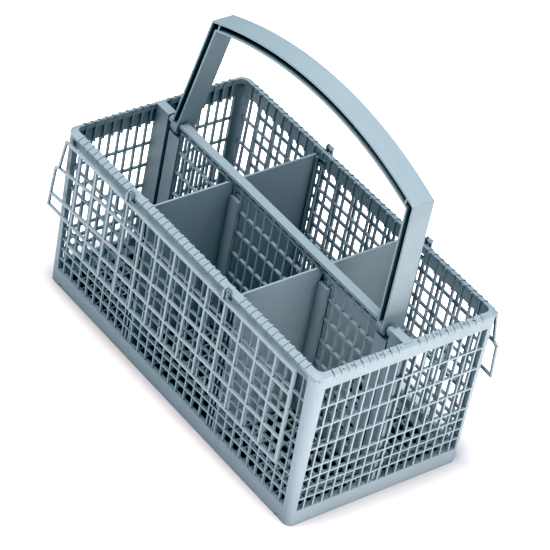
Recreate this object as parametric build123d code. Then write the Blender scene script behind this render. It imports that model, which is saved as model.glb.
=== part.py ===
"""Dishwasher cutlery basket: grid-walled tub, centre partition, slide-in dividers,
carrying handle and two fold-over cutlery grids.  Millimetres, +Z up,
origin at the bottom centre, X along the long side."""
import os
from math import atan, atan2, cos, degrees, radians, sin, sqrt

from build123d import *

os.makedirs("parts", exist_ok=True)

# ------------------------------------------------------------------ tub
L_RIM = 239.5          # rim length over the end walls
W_RIM = 127.6          # rim width over the long side lips
Z_LIP = 109.0          # outer top edge of the rim
Z_TOP = 110.5          # inner top edge of the rim
LIP_T = 2.0            # thickness of the overhanging lip
RIM_IN_X = 116.3       # inner edge of the rim, end walls (half)
RIM_IN_Y = 59.5        # inner edge of the rim, long walls (half)
HX0 = 118.55           # outer half length at the floor
HY0 = 60.4             # outer half width at the floor
GROW = 1.2 / 109.0     # outward draft, mm per mm of height
DRAFT = degrees(atan(GROW))
T = 2.2                # wall thickness
R_CORNER = 4.0         # vertical corner radius at the foot
R_RIM = 6.0            # corner radius of the rim

# wall grids
Z_WIN0, Z_WIN1 = 10.6, 100.6          # bottom and top of the open grid
ROWS = (86.5, 71.5, 56.5, 41.5, 33.7, 26.3, 18.9)   # horizontal bar centres
Z_WIN1_LEFT = 97.2                    # the -X end wall has a deeper top band
ROWS_LEFT = (80.5, 64.6, 49.2, 34.0, 26.3, 18.9)
Z_WIN1_FAR = 101.4                    # the far long wall
ROWS_FAR = (84.5, 67.0, 50.5, 34.5, 26.6, 18.9)
ROW_T = 1.25
PANEL_T = 1.5                         # grid bars are thinner than the frame around them
HWX = 112.0                           # long wall: half width of the grid
HWY = 56.4                            # end wall
BAR = 1.15
LONG_BARS = [-107.0 + i * 214.0 / 28 for i in range(29)]   # upright bar centres
END_BARS = [-51.8 + i * 103.6 / 16 for i in range(17)]
PX = 7.467                            # cell pitch of the centre partition

# floor grid
FLOOR0, FLOOR1 = 3.0, 4.8
FLOOR_BAR = 1.5

# rim ridges
RIDGE_PITCH = 4.9
RIDGE_W = 1.3
RIDGE_H = 0.4

# ------------------------------------------------------------------ handle pivot
ZP = 107.3             # pivot axis height, axis along X at y = 0
LEAN = 7.6             # handle leans this far towards +Y at rest
PIN_R = 1.6
PIN_HOLE_R = 1.66
BOSS_R = 2.5
BOSS_X = 101.7         # inner face of the pivot boss
BRACKET_HY = 3.0
RIB_X = 105.0          # inner face of the end wall rib

# ------------------------------------------------------------------ partition and dividers
PART_T = 1.8
FLANGE_HY = 2.9
FLANGE_HX = 93.8
POST_X0, POST_X1 = 93.3, 103.2
POST_TOP = 100.4
PART_ROWS = (90.5, 76.3, 61.2, 46.2, 38.4, 30.8, 23.2)
DIV_X = 42.0
DIV_T = 1.4
DIV_TOP = 107.4
DIV_GAP = 0.15
GUIDE_W_WALL = 7.0
GUIDE_W_PART = 8.4

# ------------------------------------------------------------------ flaps
FLAP_AXIS_Y = 65.0
FLAP_AXIS_Z = 111.3
FLAP_PIN_R = 0.7
FLAP_EYE_R = 0.76
FLAP_KNUCKLE_R = 1.5
POCKET_R = 2.9
KNUCKLE = (-1.7, -0.1)            # flap knuckle, along X from the clip centre
LUG = (0.3, 1.8)                  # rim lug that holds the pin
CLIP_X = (-53.0, 39.5)            # on the near side; the far side is turned half round
FLAP_Y0, FLAP_Y1 = -67.2, -65.7   # near flap thickness
FLAP_TOP, FLAP_LOW = 104.9, 40.2  # top and lowest bar, centre lines
FLAP_X0, FLAP_X1 = -99.0, 104.4   # first and last upright, centre lines
FLAP_N = 13
FLAP_W = 1.5
NEAR_EAR = ((-114.1, 104.2), (-117.5, 83.4), (-120.4, 81.4), (-121.9, 62.6), (-122.3, 54.0))
NEAR_BARS = (
    ((-114.1, 104.2), (-99.0, FLAP_TOP), (FLAP_X1, FLAP_TOP)),
    ((-117.5, 83.2), (-100.0, 85.9), (-82.0, 88.0), (-65.0, 88.7), (FLAP_X1, 88.7)),
    ((-121.8, 62.5), (-82.0, 66.1), (-66.0, 67.3), (-10.0, 71.3), (FLAP_X1, 71.7)),
    ((-122.3, 54.0), (-10.0, 55.3), (FLAP_X1, 56.5)),
    ((FLAP_X0, FLAP_LOW), (FLAP_X1, FLAP_LOW)),
)
# the far flap, drawn as if on the near side: its ear stops at the third bar
FAR_EAR = ((-114.1, 104.2), (-117.5, 86.7), (-120.4, 84.7), (-121.9, 64.4))
FAR_BARS = (
    ((-114.1, 104.2), (-99.0, FLAP_TOP), (FLAP_X1, FLAP_TOP)),
    ((-117.5, 86.5), (-100.0, 87.4), (-65.0, 88.0), (FLAP_X1, 88.0)),
    ((-121.9, 64.4), (-82.0, 67.4), (-10.0, 70.4), (FLAP_X1, 70.7)),
    ((FLAP_X0, 53.0), (FLAP_X1, 53.0)),
    ((FLAP_X0, FLAP_LOW), (FLAP_X1, FLAP_LOW)),
)


def box(x0, x1, y0, y1, z0, z1):
    return Pos((x0 + x1) / 2, (y0 + y1) / 2, (z0 + z1) / 2) * Box(
        abs(x1 - x0), abs(y1 - y0), abs(z1 - z0))


def cyl_x(x0, x1, y, z, r):
    return Pos((x0 + x1) / 2, y, z) * Rot(0, 90, 0) * Cylinder(r, abs(x1 - x0))


def drafted(hx, hy, r, z0, z1):
    """Rounded block whose half sizes are given at z = 0 and grow with height."""
    g = GROW * z0
    face = Plane.XY.offset(z0) * RectangleRounded(2 * (hx + g), 2 * (hy + g), r)
    return extrude(face, amount=z1 - z0, taper=-DRAFT)


def grid_face(plane, half_w, bars, rows, z0, z1, row_t, bar):
    """Flat panel with one rectangular hole for every cell."""
    level = [(z0 - 1.0, z0)] + [(z - row_t / 2, z + row_t / 2) for z in sorted(rows)] + [(z1, z1 + 1.0)]
    upright = ([(-half_w - 1.0, -half_w)] + [(x - bar / 2, x + bar / 2) for x in bars]
               + [(half_w, half_w + 1.0)])
    face = Pos(0, (z0 + z1) / 2) * Rectangle(2 * half_w + 2.4, z1 - z0 + 2.4)
    holes = []
    for (_, a), (b, _) in zip(level[:-1], level[1:]):
        for (_, x0), (x1, _) in zip(upright[:-1], upright[1:]):
            holes.append(Pos((x0 + x1) / 2, (a + b) / 2) * Rectangle(x1 - x0, b - a))
    return plane * (face - holes)


def run(points, w):
    """Flat bar of width w along a line of points."""
    out = []
    for (xa, za), (xb, zb) in zip(points[:-1], points[1:]):
        ang = degrees(atan2(zb - za, xb - xa))
        out.append(Pos((xa + xb) / 2, (za + zb) / 2) * Rot(0, 0, ang)
                   * Rectangle(sqrt((xb - xa) ** 2 + (zb - za) ** 2) + w, w))
    return out


# ================================================================== tub
c, s = cos(radians(DRAFT)), sin(radians(DRAFT))
shell = loft([
    RectangleRounded(2 * HX0, 2 * HY0, R_CORNER),
    Plane.XY.offset(Z_LIP - 0.6) * RectangleRounded(L_RIM - 0.2, W_RIM - 0.2, R_RIM - 0.1)],
    ruled=True)
shell -= drafted(HX0 - T, HY0 - T, R_CORNER - T, 0.0, Z_LIP + 2)
# between the corner posts the long walls stand back under the lip
past_wall = box(-HWX, HWX, -90, 90, Z_WIN0, Z_LIP - LIP_T) - drafted(HX0 + 60, HY0, 2.0, 0.0, Z_LIP)
shell -= past_wall
shell -= [
    box(-HWX, HWX, -80, -50, Z_WIN0, Z_WIN1),
    box(-HWX, HWX, 50, 80, Z_WIN0, Z_WIN1_FAR),
    box(-140, -100, -HWY, HWY, Z_WIN0, Z_WIN1_LEFT),
    box(100, 140, -HWY, HWY, Z_WIN0, Z_WIN1),
]

near_plane = Plane(origin=(0, -HY0, 0), x_dir=(1, 0, 0), z_dir=(0, -c, -s)).offset(-0.1)
end_plane = Plane(origin=(HX0, 0, 0), x_dir=(0, 1, 0), z_dir=(c, 0, -s)).offset(-0.1)
near_panel = extrude(
    grid_face(near_plane, HWX, LONG_BARS, ROWS, Z_WIN0, Z_WIN1, ROW_T, BAR), amount=-PANEL_T)
far_panel = extrude(
    grid_face(near_plane, HWX, LONG_BARS, ROWS_FAR, Z_WIN0, Z_WIN1_FAR, ROW_T, BAR), amount=-PANEL_T)
right_panel = extrude(
    grid_face(end_plane, HWY, END_BARS, ROWS, Z_WIN0, Z_WIN1, ROW_T, BAR), amount=-PANEL_T)
left_panel = extrude(
    grid_face(end_plane, HWY, END_BARS, ROWS_LEFT, Z_WIN0, Z_WIN1_LEFT, ROW_T, BAR), amount=-PANEL_T)
panels = [near_panel, Rot(0, 0, 180) * far_panel, right_panel, Rot(0, 0, 180) * left_panel]

# floor grid
fx, fy = HX0 - T + 0.8, HY0 - T + 0.8
floor = RectangleRounded(2 * fx, 2 * fy, R_CORNER - T)
fnx, fny = 30, 18
fhx, fhy = 111.0, 54.0
fpx, fpy = 2 * fhx / fnx, 2 * fhy / fny
floor -= [Pos(-fhx + (i + 0.5) * fpx, -fhy + (j + 0.5) * fpy)
          * Rectangle(fpx - FLOOR_BAR, fpy - FLOOR_BAR)
          for i in range(fnx) for j in range(fny)]
floor = extrude(Plane.XY.offset(FLOOR0) * floor, amount=FLOOR1 - FLOOR0)

# rim with an outward falling top
rim = extrude(Plane.XY.offset(Z_LIP - LIP_T) * RectangleRounded(L_RIM, W_RIM, R_RIM), amount=LIP_T)
rim += extrude(Plane.XY.offset(Z_LIP) * RectangleRounded(L_RIM, W_RIM, R_RIM),
               amount=Z_TOP - Z_LIP, taper=degrees(atan(3.3 / (Z_TOP - Z_LIP))))
rim -= extrude(Plane.XY.offset(Z_LIP - 4) * RectangleRounded(2 * RIM_IN_X, 2 * RIM_IN_Y, 4.0), amount=8)

# cross ridges on the rim
hx, hy = L_RIM / 2, W_RIM / 2
end_prof = Plane.XZ * make_face(Polyline(
    (RIM_IN_X - 0.3, Z_TOP - 1.2), (RIM_IN_X - 0.3, Z_TOP + RIDGE_H),
    (hx - 3.2, Z_TOP + RIDGE_H), (hx + 0.25, Z_LIP + RIDGE_H), (hx + 0.25, Z_LIP - 1.4),
    (hx - 1.5, Z_LIP - 1.6), close=True))
end_ridge = Pos(0, RIDGE_W / 2, 0) * extrude(end_prof, amount=RIDGE_W)
side_prof = Plane.YZ * make_face(Polyline(
    (RIM_IN_Y - 0.3, Z_TOP - 1.2), (RIM_IN_Y - 0.3, Z_TOP + RIDGE_H),
    (hy - 3.2, Z_TOP + RIDGE_H), (hy + 0.25, Z_LIP + RIDGE_H), (hy + 0.25, Z_LIP - 1.4),
    (hy - 1.5, Z_LIP - 1.6), close=True))
side_ridge = Pos(-RIDGE_W / 2, 0, 0) * extrude(side_prof, amount=RIDGE_W)
ridges = []
n_end = int(2 * (hy - 11.0) / RIDGE_PITCH)
for i in range(n_end + 1):
    y = (i - n_end / 2) * RIDGE_PITCH
    if abs(y) < 4.2:
        continue
    ridges.append(Pos(0, y, 0) * end_ridge)
    ridges.append(Rot(0, 0, 180) * (Pos(0, y, 0) * end_ridge))
n_side = int(2 * (hx - 11.0) / RIDGE_PITCH)
for i in range(n_side + 1):
    x = (i - n_side / 2) * RIDGE_PITCH
    # the far side carries the near side's clips turned half round
    if min(abs(x + cx) for cx in CLIP_X) < 5.6:
        continue
    ridges.append(Pos(x, 0, 0) * side_ridge)
    ridges.append(Rot(0, 0, 180) * (Pos(x, 0, 0) * side_ridge))

# ribs on the inner face of the top band, in line with the grid bars
ribs = []
for x in LONG_BARS:
    if abs(abs(x) - DIV_X) < 3.0:
        continue
    ribs.append(box(x - 0.6, x + 0.6, RIM_IN_Y - 0.9, RIM_IN_Y + 1.2, Z_WIN1_FAR - 0.5, Z_TOP - 0.3))
    ribs.append(box(x - 0.6, x + 0.6, -RIM_IN_Y - 1.2, -RIM_IN_Y + 0.9, Z_WIN1 - 0.5, Z_TOP - 0.3))
for y in END_BARS:
    if abs(y) < 4.5:
        continue
    ribs.append(box(RIM_IN_X - 0.5, RIM_IN_X + 2.0, y - 0.6, y + 0.6, Z_WIN1 - 0.5, Z_TOP - 0.3))
    ribs.append(box(-RIM_IN_X - 2.0, -RIM_IN_X + 0.5, y - 0.6, y + 0.6, Z_WIN1_LEFT - 0.5, Z_TOP - 0.3))

# end wall rib, bracket and pivot boss
pivots = []
for sx in (1, -1):
    pivots += [
        box(sx * RIB_X, sx * (HX0 - 1.2), -BRACKET_HY, BRACKET_HY, FLOOR1 - 1.0, Z_LIP - 2.0),
        box(sx * RIB_X, sx * (RIM_IN_X + 1.2), -BRACKET_HY, BRACKET_HY, Z_LIP - 2.6, Z_TOP),
        cyl_x(sx * BOSS_X, sx * (RIB_X + 0.5), 0, ZP, BOSS_R),
    ]

# divider guides on the long walls
guides = []
for x in (-DIV_X, DIV_X):
    x1 = x + DIV_T / 2 + DIV_GAP
    x0 = x - DIV_T / 2 - DIV_GAP
    for sy in (1, -1):
        y_in, y_out = sy * (HY0 - T - 1.5), sy * (HY0 - T + 1.6)
        guides += [box(x1, x1 + 1.2, y_in, y_out, FLOOR1 - 1.0, Z_LIP - 2.6),
                   box(x0 - 1.2, x0, y_in, y_out, FLOOR1 - 1.0, Z_LIP - 2.6),
                   box(x1, x1 + GUIDE_W_WALL, sy * (RIM_IN_Y - 0.9), sy * (RIM_IN_Y + 1.2),
                       Z_WIN1 - 0.3, Z_LIP - 2.6)]

# notches, slots and pin lugs for the flaps
pockets, lugs, eyes = [], [], []
for cx in CLIP_X:
    for turn in (0, 180):
        R = Rot(0, 0, turn)
        pockets.append(R * cyl_x(cx - 2.6, cx + LUG[0], -FLAP_AXIS_Y, FLAP_AXIS_Z, POCKET_R))
        pockets.append(R * box(cx - 5.0, cx + 1.0, -64.0, -58.4, 102.6, 105.6))
        lugs.append(R * cyl_x(cx + LUG[0], cx + LUG[1], -FLAP_AXIS_Y, FLAP_AXIS_Z, FLAP_KNUCKLE_R - 0.1))
        lugs.append(R * box(cx + LUG[0], cx + LUG[1], -FLAP_AXIS_Y - 1.1, -FLAP_AXIS_Y + 1.1,
                            Z_LIP - LIP_T + 0.3, FLAP_AXIS_Z))
        lugs.append(R * box(cx + LUG[0], cx + LUG[1], -FLAP_AXIS_Y - 1.1, -W_RIM / 2 + 1.5,
                            Z_LIP - LIP_T + 0.3, Z_LIP - 0.1))
        eyes.append(R * cyl_x(cx - 1, cx + LUG[1] + 1, -FLAP_AXIS_Y, FLAP_AXIS_Z, FLAP_EYE_R))

# drain notches under the lower edge
notches = []
for sx in (-1, 1):
    notches.append(box(sx * 106.5, sx * 109.5, -70, 70, -1, 1.4))

body = shell + panels + [floor]
body = body + [rim] + pivots + guides
body = body + ribs
body = body + ridges
body = body - pockets
body = body + lugs
body = body - eyes
body = body - [cyl_x(sx * (BOSS_X - 1), sx * 106.4, 0, ZP, PIN_HOLE_R) for sx in (1, -1)]
body = body - notches

# ================================================================== partition
pz0, pz1 = FLOOR1, Z_TOP - 2.0
outline = make_face(Polyline(
    (-POST_X1, pz0), (POST_X1, pz0), (POST_X1, POST_TOP), (FLANGE_HX, POST_TOP),
    (FLANGE_HX, pz1 + 0.5), (-FLANGE_HX, pz1 + 0.5), (-FLANGE_HX, POST_TOP),
    (-POST_X1, POST_TOP), close=True))
p_rows = [13.0] + sorted(PART_ROWS) + [103.5 + ROW_T / 2]
holes = []
PN = 25
PHX = PN * PX / 2 - 0.4
for lo, hi in zip(p_rows[:-1], p_rows[1:]):
    a, b = lo + ROW_T / 2, hi - ROW_T / 2
    for i in range(PN):
        cx = (i - (PN - 1) / 2) * PX
        w = PX - BAR
        holes.append(Pos(cx, (a + b) / 2) * Rectangle(w, b - a))
for i in range(PN):
    cx = (i - (PN - 1) / 2) * PX
    holes.append(Pos(cx, 106.9) * Rectangle(PX - 2.6, 3.0))
plate = extrude(Plane.XZ * (outline - holes), amount=PART_T / 2, both=True)
flange = box(-FLANGE_HX, FLANGE_HX, -FLANGE_HY, FLANGE_HY, Z_TOP - 2.0, Z_TOP + 0.1)
p_guides = []
for x in (-DIV_X, DIV_X):
    x1 = x + DIV_T / 2 + DIV_GAP
    x0 = x - DIV_T / 2 - DIV_GAP
    for sy in (1, -1):
        p_guides += [box(x1, x1 + GUIDE_W_PART, sy * 0.4, sy * 2.9, pz0, 97.6),
                     box(x0 - 1.4, x0, sy * 0.4, sy * 2.9, pz0, 97.6)]
posts = []
for sx in (1, -1):
    posts.append(box(sx * POST_X0, sx * POST_X1, -2.0, 2.0, pz0, POST_TOP))
partition = plate + [flange] + p_guides + posts


# ================================================================== dividers
def divider():
    """Near-side divider at x = 0, one corner rounded at the partition."""
    y_in = PART_T / 2 + 0.3
    y0, y1 = HY0 - T - 0.3 + GROW * FLOOR1, RIM_IN_Y - 0.4
    z0 = FLOOR1
    prof = make_face(Polyline(
        (-y_in, z0), (-y_in, DIV_TOP - 3.0), (-FLANGE_HY - 0.4, DIV_TOP - 3.0),
        (-FLANGE_HY - 0.4, DIV_TOP), (-y1, DIV_TOP), (-y0, z0), close=True))
    prof = Plane.YZ * prof
    solid = extrude(prof, amount=DIV_T / 2, both=True)
    corner = solid.edges().filter_by(Axis.X).sort_by(Axis.Z)[-2:]
    return fillet(corner, 2.0)


div = divider()
dividers = {
    "divider_near_left": Pos(-DIV_X, 0, 0) * div,
    "divider_near_right": Pos(DIV_X, 0, 0) * div,
    "divider_far_left": Pos(-DIV_X, 0, 0) * mirror(div, about=Plane.XZ),
    "divider_far_right": Pos(DIV_X, 0, 0) * mirror(div, about=Plane.XZ),
}

# ================================================================== handle
H_W0, H_W1 = -4.2, 10.1       # across the band, in the upright handle
H_T = 5.8                     # outer to inner flange faces
H_FL = 1.3                    # flange thickness
H_FOOT = -3.6                 # foot below the pivot
H_X0, H_Z0 = 100.6, -0.5      # outer face at the foot
H_X1, H_Z1 = 92.3, 76.4       # outer shoulder corner
H_APEX = 92.9
H_R = (H_X1 ** 2 + (H_APEX - H_Z1) ** 2) / (2 * (H_APEX - H_Z1))
H_C = H_APEX - H_R
H_CAP = 3.2                   # grooves start this far above the pivot
slope = (H_X1 - H_X0) / (H_Z1 - H_Z0)
nrm = sqrt(1 + slope * slope)


def arch(d, z_low, r):
    """Area under the handle curve set in by d, cut off level at z_low."""
    # leg line: x = xa + slope * z
    xa = H_X0 - slope * H_Z0 - d * nrm
    rad = H_R - d
    # (xa + slope z)^2 + (z - H_C)^2 = rad^2
    qa, qb, qc = slope * slope + 1, 2 * (xa * slope - H_C), xa * xa + H_C * H_C - rad * rad
    z = (-qb + sqrt(qb * qb - 4 * qa * qc)) / (2 * qa)
    x = xa + slope * z
    xl = xa + slope * z_low
    right = Line((xl, z_low), (x, z))
    top = ThreePointArc((x, z), (0, H_C + rad), (-x, z))
    left = Line((-x, z), (-xl, z_low))
    low = Line((-xl, z_low), (xl, z_low))
    face = make_face([right, top, left, low])
    corners = face.vertices().sort_by(Axis.Y)[-2:]
    return fillet(corners, r)


SKEW = 0.135                  # the far edge of the band stands this much higher per mm


def across(face, y0, y1):
    """Sweep an upright outline across the handle from y0 to y1, rising with SKEW."""
    lift = SKEW * (y0 - (H_W0 + H_W1) / 2)
    return extrude(Pos(0, y0, lift) * (Plane.XZ * face),
                   amount=(y1 - y0) * sqrt(1 + SKEW * SKEW), dir=(0, 1, SKEW))


band = across(arch(0, H_FOOT, 0.8) - arch(H_T, H_FOOT - 1, 1.2), H_W0, H_W1)
groove = arch(H_FL, H_CAP, 0.8) - arch(H_T - H_FL, H_CAP - 1, 1.6)
groove -= [Pos(sx * 85.6, 80) * Rectangle(1.1, 30) for sx in (1, -1)]
web0, web1 = (H_W0 + H_W1) / 2 - 1.2, (H_W0 + H_W1) / 2 + 1.2
band -= [across(groove, H_W0 - 1, web0), across(groove, web1, H_W1 + 1)]
# round the feet about the pivot, keeping everything above it
keep = box(-150, 150, -30, 30, 0, 150) + cyl_x(-150, 150, (H_W0 + H_W1) / 2, 0.4, 7.15)
band = band & keep
pins = [cyl_x(sx * 97.0, sx * 105.8, 0, 0, PIN_R) for sx in (1, -1)]
handle = band + pins
handle = Pos(0, 0, ZP) * Rot(-LEAN, 0, 0) * handle

# ================================================================== flaps
f_pitch = (FLAP_X1 - FLAP_X0) / FLAP_N


def flap(bars, ear):
    """Open grid hanging from two knuckles, drawn on the near side."""
    flat = []
    for i in range(FLAP_N + 1):
        x = FLAP_X0 + i * f_pitch
        flat.append(Pos(x, (FLAP_TOP + FLAP_LOW) / 2) * Rectangle(FLAP_W, FLAP_TOP - FLAP_LOW + FLAP_W))
    for line in bars + (ear,):
        flat += run(line, FLAP_W)
    for cx in CLIP_X:
        flat.append(Pos(cx + (KNUCKLE[0] + KNUCKLE[1]) / 2, (FLAP_TOP + FLAP_AXIS_Z) / 2) * Rectangle(
            KNUCKLE[1] - KNUCKLE[0], FLAP_AXIS_Z - FLAP_TOP))
    face = flat[0] + flat[1:]
    grid = extrude(Plane.XZ.offset(-FLAP_Y1) * face, amount=FLAP_Y1 - FLAP_Y0)
    knuckles = []
    for cx in CLIP_X:
        knuckles.append(cyl_x(cx + KNUCKLE[0], cx + KNUCKLE[1], -FLAP_AXIS_Y, FLAP_AXIS_Z, FLAP_KNUCKLE_R))
        knuckles.append(cyl_x(cx + KNUCKLE[0], cx + LUG[1] + 0.3, -FLAP_AXIS_Y, FLAP_AXIS_Z, FLAP_PIN_R))
    return grid + knuckles


# ================================================================== write
nodes = {
    "basket_body": body,
    "centre_partition": partition,
    "handle": handle,
    "near_flap": flap(NEAR_BARS, NEAR_EAR),
    "far_flap": Rot(0, 0, 180) * flap(FAR_BARS, FAR_EAR),
}
nodes.update(dividers)
for name, shape in nodes.items():
    export_step(shape, "parts/%s.step" % name)
    bb = shape.bounding_box()
    print(name, len(shape.solids()), "solids", [round(v, 2) for v in (*bb.min, *bb.max)],
          round(shape.volume, 1))
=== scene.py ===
import math

import bpy
from mathutils import Matrix, Vector

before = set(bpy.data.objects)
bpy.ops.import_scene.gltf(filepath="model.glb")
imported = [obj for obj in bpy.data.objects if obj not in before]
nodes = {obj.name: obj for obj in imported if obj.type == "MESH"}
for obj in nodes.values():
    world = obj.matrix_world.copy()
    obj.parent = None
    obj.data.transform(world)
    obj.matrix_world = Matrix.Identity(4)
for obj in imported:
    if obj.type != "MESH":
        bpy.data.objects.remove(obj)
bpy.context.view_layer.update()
scene = bpy.context.scene

# ---------------------------------------------------------------- camera
# Long lens, rolled a little, looking down on the near long wall and the right end wall.
CAM_RIGHT = Vector((0.5864349, 0.7939085, 0.1606345))
CAM_DOWN = Vector((0.5802966, -0.2734299, -0.7671323))
CAM_FORWARD = Vector((-0.5651106, 0.5430888, -0.6210512))
CAM_EYE = Vector((1.0337040, -0.9881943, 1.2029473))
CAM_LENS = 211.809

cam_data = bpy.data.cameras.new("camera")
cam_data.sensor_fit = "HORIZONTAL"
cam_data.sensor_width = 36.0
cam_data.lens = CAM_LENS
cam_data.clip_start = 0.05
cam_data.clip_end = 100.0
camera = bpy.data.objects.new("camera", cam_data)
camera.matrix_world = Matrix(
    (
        (CAM_RIGHT.x, -CAM_DOWN.x, -CAM_FORWARD.x, CAM_EYE.x),
        (CAM_RIGHT.y, -CAM_DOWN.y, -CAM_FORWARD.y, CAM_EYE.y),
        (CAM_RIGHT.z, -CAM_DOWN.z, -CAM_FORWARD.z, CAM_EYE.z),
        (0.0, 0.0, 0.0, 1.0),
    )
)
scene.collection.objects.link(camera)
scene.camera = camera

# ---------------------------------------------------------------- node helpers


class Tree:
    """Short hand for building a node tree."""

    def __init__(self, tree):
        self.tree = tree

    def add(self, kind, **inputs):
        n = self.tree.nodes.new(kind)
        for key, value in inputs.items():
            self.put(n, key, value)
        return n

    def put(self, n, key, value):
        sock = n.inputs[int(key[1:])] if key[0] == "i" and key[1:].isdigit() else n.inputs[key.replace("_", " ")]
        if isinstance(value, bpy.types.NodeSocket):
            self.tree.links.new(value, sock)
        else:
            sock.default_value = value

    def math(self, op, a, b=None, clamp=False):
        n = self.tree.nodes.new("ShaderNodeMath")
        n.operation = op
        n.use_clamp = clamp
        self.put(n, "i0", a)
        if b is not None:
            self.put(n, "i1", b)
        return n.outputs[0]

    def noise(self, vector, scale, detail=3.0, rough=0.5):
        n = self.tree.nodes.new("ShaderNodeTexNoise")
        self.put(n, "Vector", vector)
        n.inputs["Scale"].default_value = scale
        n.inputs["Detail"].default_value = detail
        n.inputs["Roughness"].default_value = rough
        return n.outputs["Fac"]

    def span(self, value, a, b, lo, hi):
        n = self.tree.nodes.new("ShaderNodeMapRange")
        n.clamp = True
        self.put(n, "Value", value)
        n.inputs["From Min"].default_value = a
        n.inputs["From Max"].default_value = b
        n.inputs["To Min"].default_value = lo
        n.inputs["To Max"].default_value = hi
        return n.outputs["Result"]

    def mix(self, fac, a, b, mode="MIX"):
        n = self.tree.nodes.new("ShaderNodeMix")
        n.data_type = "RGBA"
        n.blend_type = mode
        for sock, value in ((n.inputs[0], fac), (n.inputs[6], a), (n.inputs[7], b)):
            if isinstance(value, bpy.types.NodeSocket):
                self.tree.links.new(value, sock)
            else:
                sock.default_value = value
        return n.outputs[2]


def moulded_plastic(name, base, deep, pale_fleck_and_highlight, rough=0.43, grain=1.0, streak_axis=2, edge=0.45):
    """Satin moulded polypropylene: faint mottling, flow streaks, spark-eroded grain, painted highlights on edges
    and painted shade in corners and recesses.
    """
    m = bpy.data.materials.new(name)
    m.use_nodes = True
    t = m.node_tree
    t.nodes.clear()
    k = Tree(t)
    out = t.nodes.new("ShaderNodeOutputMaterial")
    bsdf = t.nodes.new("ShaderNodeBsdfPrincipled")
    t.links.new(bsdf.outputs[0], out.inputs["Surface"])
    where = t.nodes.new("ShaderNodeTexCoord").outputs["Object"]

    # broad clouding and flow streaks of the pigment
    cloud = k.noise(where, 16.0, 4.0, 0.55)
    stretch = t.nodes.new("ShaderNodeMapping")
    squeeze = [150.0, 150.0, 150.0]
    squeeze[streak_axis] = 16.0
    stretch.inputs["Scale"].default_value = squeeze
    t.links.new(where, stretch.inputs["Vector"])
    streak = k.noise(stretch.outputs[0], 1.0, 3.0, 0.6)
    speck = k.noise(where, 900.0, 2.0, 0.6)
    tone = k.math("ADD", k.math("MULTIPLY", cloud, 0.5), k.math("MULTIPLY", streak, 0.5))
    colour = k.mix(k.span(tone, 0.32, 0.68, 0.0, 1.0), deep, base)
    colour = k.mix(k.span(speck, 0.62, 0.80, 0.0, 0.10), colour, pale_fleck_and_highlight)

    # painted highlight: edges are lightened towards the pale colour, patchily
    bevel = t.nodes.new("ShaderNodeBevel")
    bevel.samples = 6
    bevel.inputs["Radius"].default_value = 0.0006
    geo = t.nodes.new("ShaderNodeNewGeometry")
    dot = t.nodes.new("ShaderNodeVectorMath")
    dot.operation = "DOT_PRODUCT"
    t.links.new(bevel.outputs[0], dot.inputs[0])
    t.links.new(geo.outputs["Normal"], dot.inputs[1])
    highlight_patchiness = k.noise(where, 120.0, 3.0, 0.6)
    turned = k.span(k.math("SUBTRACT", 1.0, dot.outputs["Value"]), 0.01, 0.22, 0.0, 1.0)
    edge_highlight_fac = k.math("MULTIPLY", turned, k.span(highlight_patchiness, 0.35, 0.65, 0.35 * edge, edge), clamp=True)
    colour = k.mix(edge_highlight_fac, colour, pale_fleck_and_highlight)

    # painted shade: the colour is darkened towards a dark blue-grey where ambient occlusion finds corners,
    # recesses and the band under ledges
    ao = t.nodes.new("ShaderNodeAmbientOcclusion")
    ao.samples = 8
    ao.inputs["Distance"].default_value = 0.007
    painted_shade = k.span(ao.outputs["AO"], 0.30, 0.88, PAINTED_SHADE_STRENGTH, 0.0)
    painted_shade = k.math("MULTIPLY", painted_shade, k.span(cloud, 0.3, 0.7, 0.85, 1.0))
    # the painted shade fades out between 16 mm and 8 mm height, none at the foot
    height = t.nodes.new("ShaderNodeSeparateXYZ")
    t.links.new(where, height.inputs[0])
    painted_shade = k.math("MULTIPLY", painted_shade, k.span(height.outputs[2], 0.008, 0.016, 0.0, 1.0))
    colour = k.mix(painted_shade, colour, (0.055, 0.088, 0.105, 1.0))
    t.links.new(colour, bsdf.inputs["Base Color"])

    # satin finish, a little glossier where the mould was polished by use
    patch = k.noise(where, 55.0, 4.0, 0.6)
    t.links.new(k.span(k.math("ADD", k.math("MULTIPLY", patch, 0.7), k.math("MULTIPLY", speck, 0.3)), 0.3, 0.7, rough - 0.07, rough + 0.08), bsdf.inputs["Roughness"])

    # fine grain of the mould wall with a slow waviness of the thin plastic
    fine = k.noise(where, 3200.0, 2.0, 0.55)
    slow = k.noise(where, 60.0, 2.0, 0.5)
    b1 = t.nodes.new("ShaderNodeBump")
    b1.inputs["Strength"].default_value = 0.18 * grain
    b1.inputs["Distance"].default_value = 0.00006
    t.links.new(fine, b1.inputs["Height"])
    b2 = t.nodes.new("ShaderNodeBump")
    b2.inputs["Strength"].default_value = 0.25
    b2.inputs["Distance"].default_value = 0.0005
    t.links.new(slow, b2.inputs["Height"])
    t.links.new(b1.outputs[0], b2.inputs["Normal"])
    t.links.new(b2.outputs[0], bsdf.inputs["Normal"])
    bsdf.inputs["IOR"].default_value = 1.49
    bsdf.inputs["Specular IOR Level"].default_value = 0.42
    return m


# strength of the painted shade in corners and under ledges
PAINTED_SHADE_STRENGTH = 0.72
BASE = (0.288, 0.347, 0.392, 1.0)
DEEP = (0.268, 0.326, 0.370, 1.0)
# pale colour for random flecks and for the painted edge highlights
PALE_FLECK_AND_HIGHLIGHT = (0.398, 0.464, 0.510, 1.0)

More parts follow.
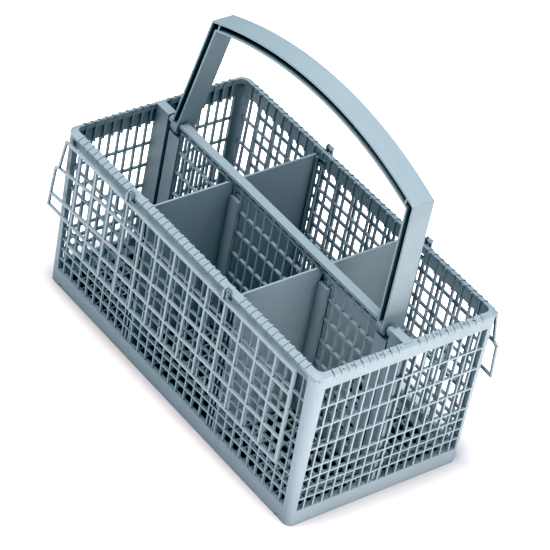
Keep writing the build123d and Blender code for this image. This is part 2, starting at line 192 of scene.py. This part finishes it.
wall_plastic = moulded_plastic("tub_plastic", BASE, DEEP, PALE_FLECK_AND_HIGHLIGHT, 0.44, 1.0, 2)
plate_plastic = moulded_plastic("divider_plastic", BASE, DEEP, PALE_FLECK_AND_HIGHLIGHT, 0.46, 1.2, 2, 0.30)
bail_plastic = moulded_plastic("handle_plastic", BASE, DEEP, PALE_FLECK_AND_HIGHLIGHT, 0.40, 0.8, 0)
bar_plastic = moulded_plastic("flap_plastic", BASE, DEEP, PALE_FLECK_AND_HIGHLIGHT, 0.42, 0.8, 0)

FINISH = {
    "basket_body": (wall_plastic, 0.00016),
    "centre_partition": (wall_plastic, 0.00016),
    "divider_near_left": (plate_plastic, 0.00030),
    "divider_near_right": (plate_plastic, 0.00030),
    "divider_far_left": (plate_plastic, 0.00030),
    "divider_far_right": (plate_plastic, 0.00030),
    "handle": (bail_plastic, 0.00035),
    "near_flap": (bar_plastic, 0.00025),
    "far_flap": (bar_plastic, 0.00025),
}

for name, (material, radius) in FINISH.items():
    obj = nodes[name]
    obj.data.materials.clear()
    obj.data.materials.append(material)
    for poly in obj.data.polygons:
        poly.material_index = 0
    weld = obj.modifiers.new("weld", "WELD")
    weld.merge_threshold = 0.000002
    flat = obj.modifiers.new("flat", "DECIMATE")
    flat.decimate_type = "DISSOLVE"
    flat.angle_limit = math.radians(0.4)
    bev = obj.modifiers.new("soft_edge", "BEVEL")
    bev.width = radius
    bev.segments = 1 if name in ("basket_body", "centre_partition") else 2
    bev.limit_method = "ANGLE"
    bev.angle_limit = math.radians(32)
    bev.use_clamp_overlap = True
    bev.harden_normals = False
    wn = obj.modifiers.new("shade", "WEIGHTED_NORMAL")
    wn.keep_sharp = False
    wn.weight = 80

# ---------------------------------------------------------------- floor
# Pale paper; the sheet round the basket glows, as on a light table, and lights the basket from beneath. There is
# no glow under the basket; it rises over the first 85 mm from the foot, a painted contact shadow, and dies away
# towards the edge of the sheet.
INNER, OUTER = 0.62, 6.0


def flat_sheet(name, corners, faces, material):
    mesh = bpy.data.meshes.new(name)
    mesh.from_pydata([(x, y, 0.0) for x, y in corners], [], faces)
    mesh.materials.append(material)
    obj = bpy.data.objects.new(name, mesh)
    obj.location.z = -0.0002
    scene.collection.objects.link(obj)
    return obj


def paper(name, glow):
    m = bpy.data.materials.new(name)
    m.use_nodes = True
    t = m.node_tree
    k = Tree(t)
    b = t.nodes["Principled BSDF"]
    where = t.nodes.new("ShaderNodeTexCoord").outputs["Object"]
    fibre = k.noise(where, 30.0, 4.0, 0.6)
    pale = k.mix(fibre, (0.550, 0.555, 0.585, 1.0), (0.570, 0.575, 0.605, 1.0))
    b.inputs["Roughness"].default_value = 0.9
    b.inputs["Specular IOR Level"].default_value = 0.1
    b.inputs["Emission Color"].default_value = (1.0, 0.935, 0.895, 1.0)
    b.inputs["Emission Strength"].default_value = 0.0
    if glow:
        xyz = t.nodes.new("ShaderNodeSeparateXYZ")
        t.links.new(where, xyz.inputs[0])
        ax = k.math("MAXIMUM", k.math("SUBTRACT", k.math("ABSOLUTE", xyz.outputs[0]), 0.1185), 0.0)
        ay = k.math("MAXIMUM", k.math("SUBTRACT", k.math("ABSOLUTE", xyz.outputs[1]), 0.0605), 0.0)
        away = k.math("SQRT", k.math("ADD", k.math("MULTIPLY", ax, ax), k.math("MULTIPLY", ay, ay)))
        # painted contact shadow: the glow is zero at the foot and rises outwards
        rise = k.span(away, GLOW_NEAR[0], GLOW_NEAR[1], 0.0, glow)
        fall = k.span(away, GLOW_FAR[0], GLOW_FAR[1], 1.0, 0.0)
        t.links.new(k.math("MULTIPLY", rise, fall), b.inputs["Emission Strength"])
        # painted shade: the paper under the basket, set in from its foot, is made dark
        under_basket_shade = k.math("MULTIPLY",
                        k.span(k.math("ABSOLUTE", xyz.outputs[0]), 0.112, 0.117, 1.0, 0.0),
                        k.span(k.math("ABSOLUTE", xyz.outputs[1]), 0.054, 0.059, 1.0, 0.0))
        pale = k.mix(under_basket_shade, pale, (0.10, 0.10, 0.10, 1.0))
    t.links.new(pale, b.inputs["Base Color"])
    return m


GLOW_NEAR = (0.001, 0.085)
GLOW_FAR = (0.28, 0.46)
flat_sheet("floor", [(-INNER, -INNER), (INNER, -INNER), (INNER, INNER), (-INNER, INNER)],
           [(0, 1, 2, 3)], paper("floor_paper", 1.6))
flat_sheet("floor_far", [(-INNER, -INNER), (INNER, -INNER), (INNER, INNER), (-INNER, INNER),
                         (-OUTER, -OUTER), (OUTER, -OUTER), (OUTER, OUTER), (-OUTER, OUTER)],
           [(4, 5, 1, 0), (5, 6, 2, 1), (6, 7, 3, 2), (7, 4, 0, 3)], paper("floor_paper_far", 0.0))

# ---------------------------------------------------------------- light
WARM = (1.0, 0.815, 0.705)


def softbox(name, place, aim, size, power, tint=(1.0, 1.0, 1.0)):
    data = bpy.data.lights.new(name, "AREA")
    data.shape = "RECTANGLE"
    data.size, data.size_y = size
    data.energy = power
    data.color = tint
    obj = bpy.data.objects.new(name, data)
    obj.location = place
    obj.rotation_euler = (Vector(aim) - Vector(place)).to_track_quat("-Z", "Y").to_euler()
    scene.collection.objects.link(obj)
    return obj


softbox("top", (0.05, -0.50, 1.60), (0.0, 0.0, 0.05), (0.9, 0.9), 28.0, WARM)
softbox("right_high", (1.35, 0.15, 1.15), (0.0, 0.0, 0.05), (1.0, 1.0), 8.0, WARM)
softbox("low_card", (0.37, -0.02, 0.04), (0.0, -0.01, 0.02), (0.26, 0.06), 0.42, WARM)
softbox("end_card", (0.72, -0.30, 0.20), (0.10, 0.0, 0.08), (0.50, 0.30), 0.9, WARM)

# a dim room, brighter overhead than at the horizon
world = bpy.data.worlds.new("studio")
scene.world = world
world.use_nodes = True
wt = world.node_tree
wk = Tree(wt)
bg = wt.nodes["Background"]
bg.inputs["Color"].default_value = (0.81, 0.945, 1.0, 1.0)
up = wt.nodes.new("ShaderNodeSeparateXYZ")
wt.links.new(wt.nodes.new("ShaderNodeTexCoord").outputs["Generated"], up.inputs[0])
wt.links.new(wk.span(up.outputs[2], 0.0, 0.9, 0.20, 1.50), bg.inputs["Strength"])

scene.view_settings.view_transform = "Standard"
scene.view_settings.look = "None"
scene.view_settings.exposure = 0.0
scene.view_settings.gamma = 0.66
scene.view_settings.use_curve_mapping = True
scene.view_settings.curve_mapping.black_level = (0.054, 0.034, 0.029)
scene.view_settings.curve_mapping.update()
